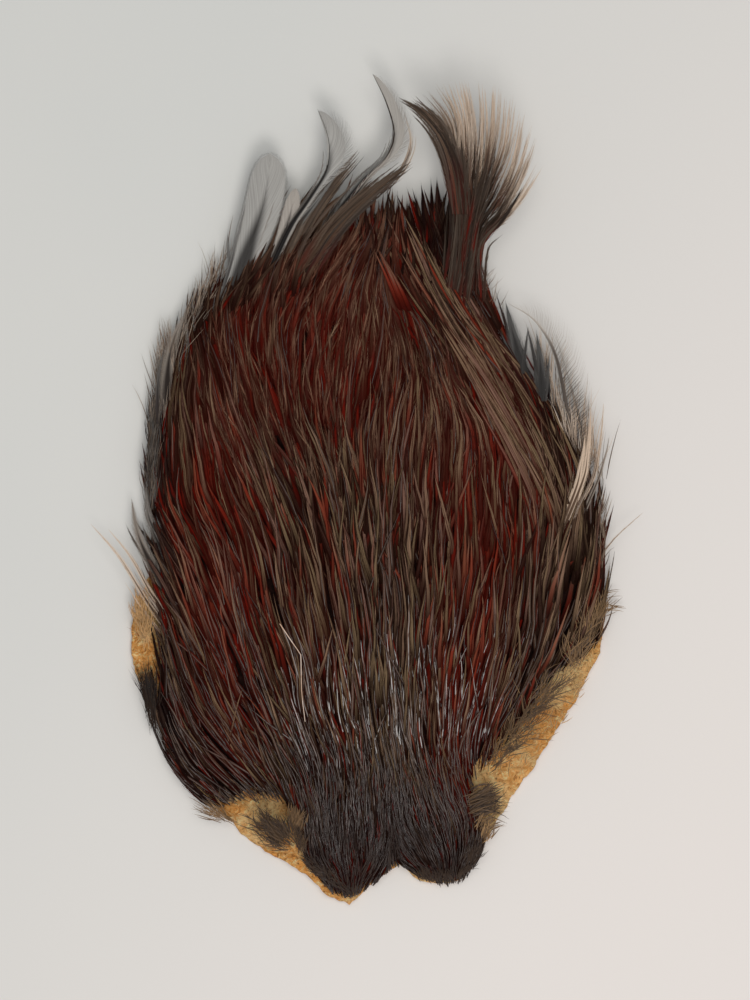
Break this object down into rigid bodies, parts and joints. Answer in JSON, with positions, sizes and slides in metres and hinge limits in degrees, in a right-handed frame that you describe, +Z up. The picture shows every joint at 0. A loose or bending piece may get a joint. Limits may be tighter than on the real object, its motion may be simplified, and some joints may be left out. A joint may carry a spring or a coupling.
{
  "type": "rooster cape",
  "caption": "Dried neck skin of a rooster, lying skin down, thick with dark and russet hackle feathers that fan from the narrow head end.",
  "frame": {"origin": "centre of the bounding box's base, on the surface that the skin lies on", "axes": "+Z up from the skin to the feathers; +Y from the narrow head end to the long feather tips; +X across the cape, to the right as seen from above with the head end near"},
  "size_m": [0.198, 0.298, 0.0249],
  "materials": {
    "hide": "dry, fibrous rawhide",
    "dark_hackle": "soft feather sheen",
    "taupe_hackle": "soft feather sheen",
    "straw": "dry feather shaft"
  },
  "bodies": {
    "root": {"skin": "hide", "hackles": "dark_hackle", "crest": "taupe_hackle", "fan_plume": "taupe_hackle", "broad_plume": "taupe_hackle", "forked_plume": "taupe_hackle", "tall_plume": "taupe_hackle", "short_plume": "taupe_hackle", "left_wisp": "taupe_hackle", "left_tuft": "taupe_hackle", "left_shoulder": "taupe_hackle", "right_shoulder": "taupe_hackle", "right_fringe": "taupe_hackle", "right_wisp": "taupe_hackle", "right_stray": "taupe_hackle", "stray_quill": "straw"}
  },
  "joints": []
}
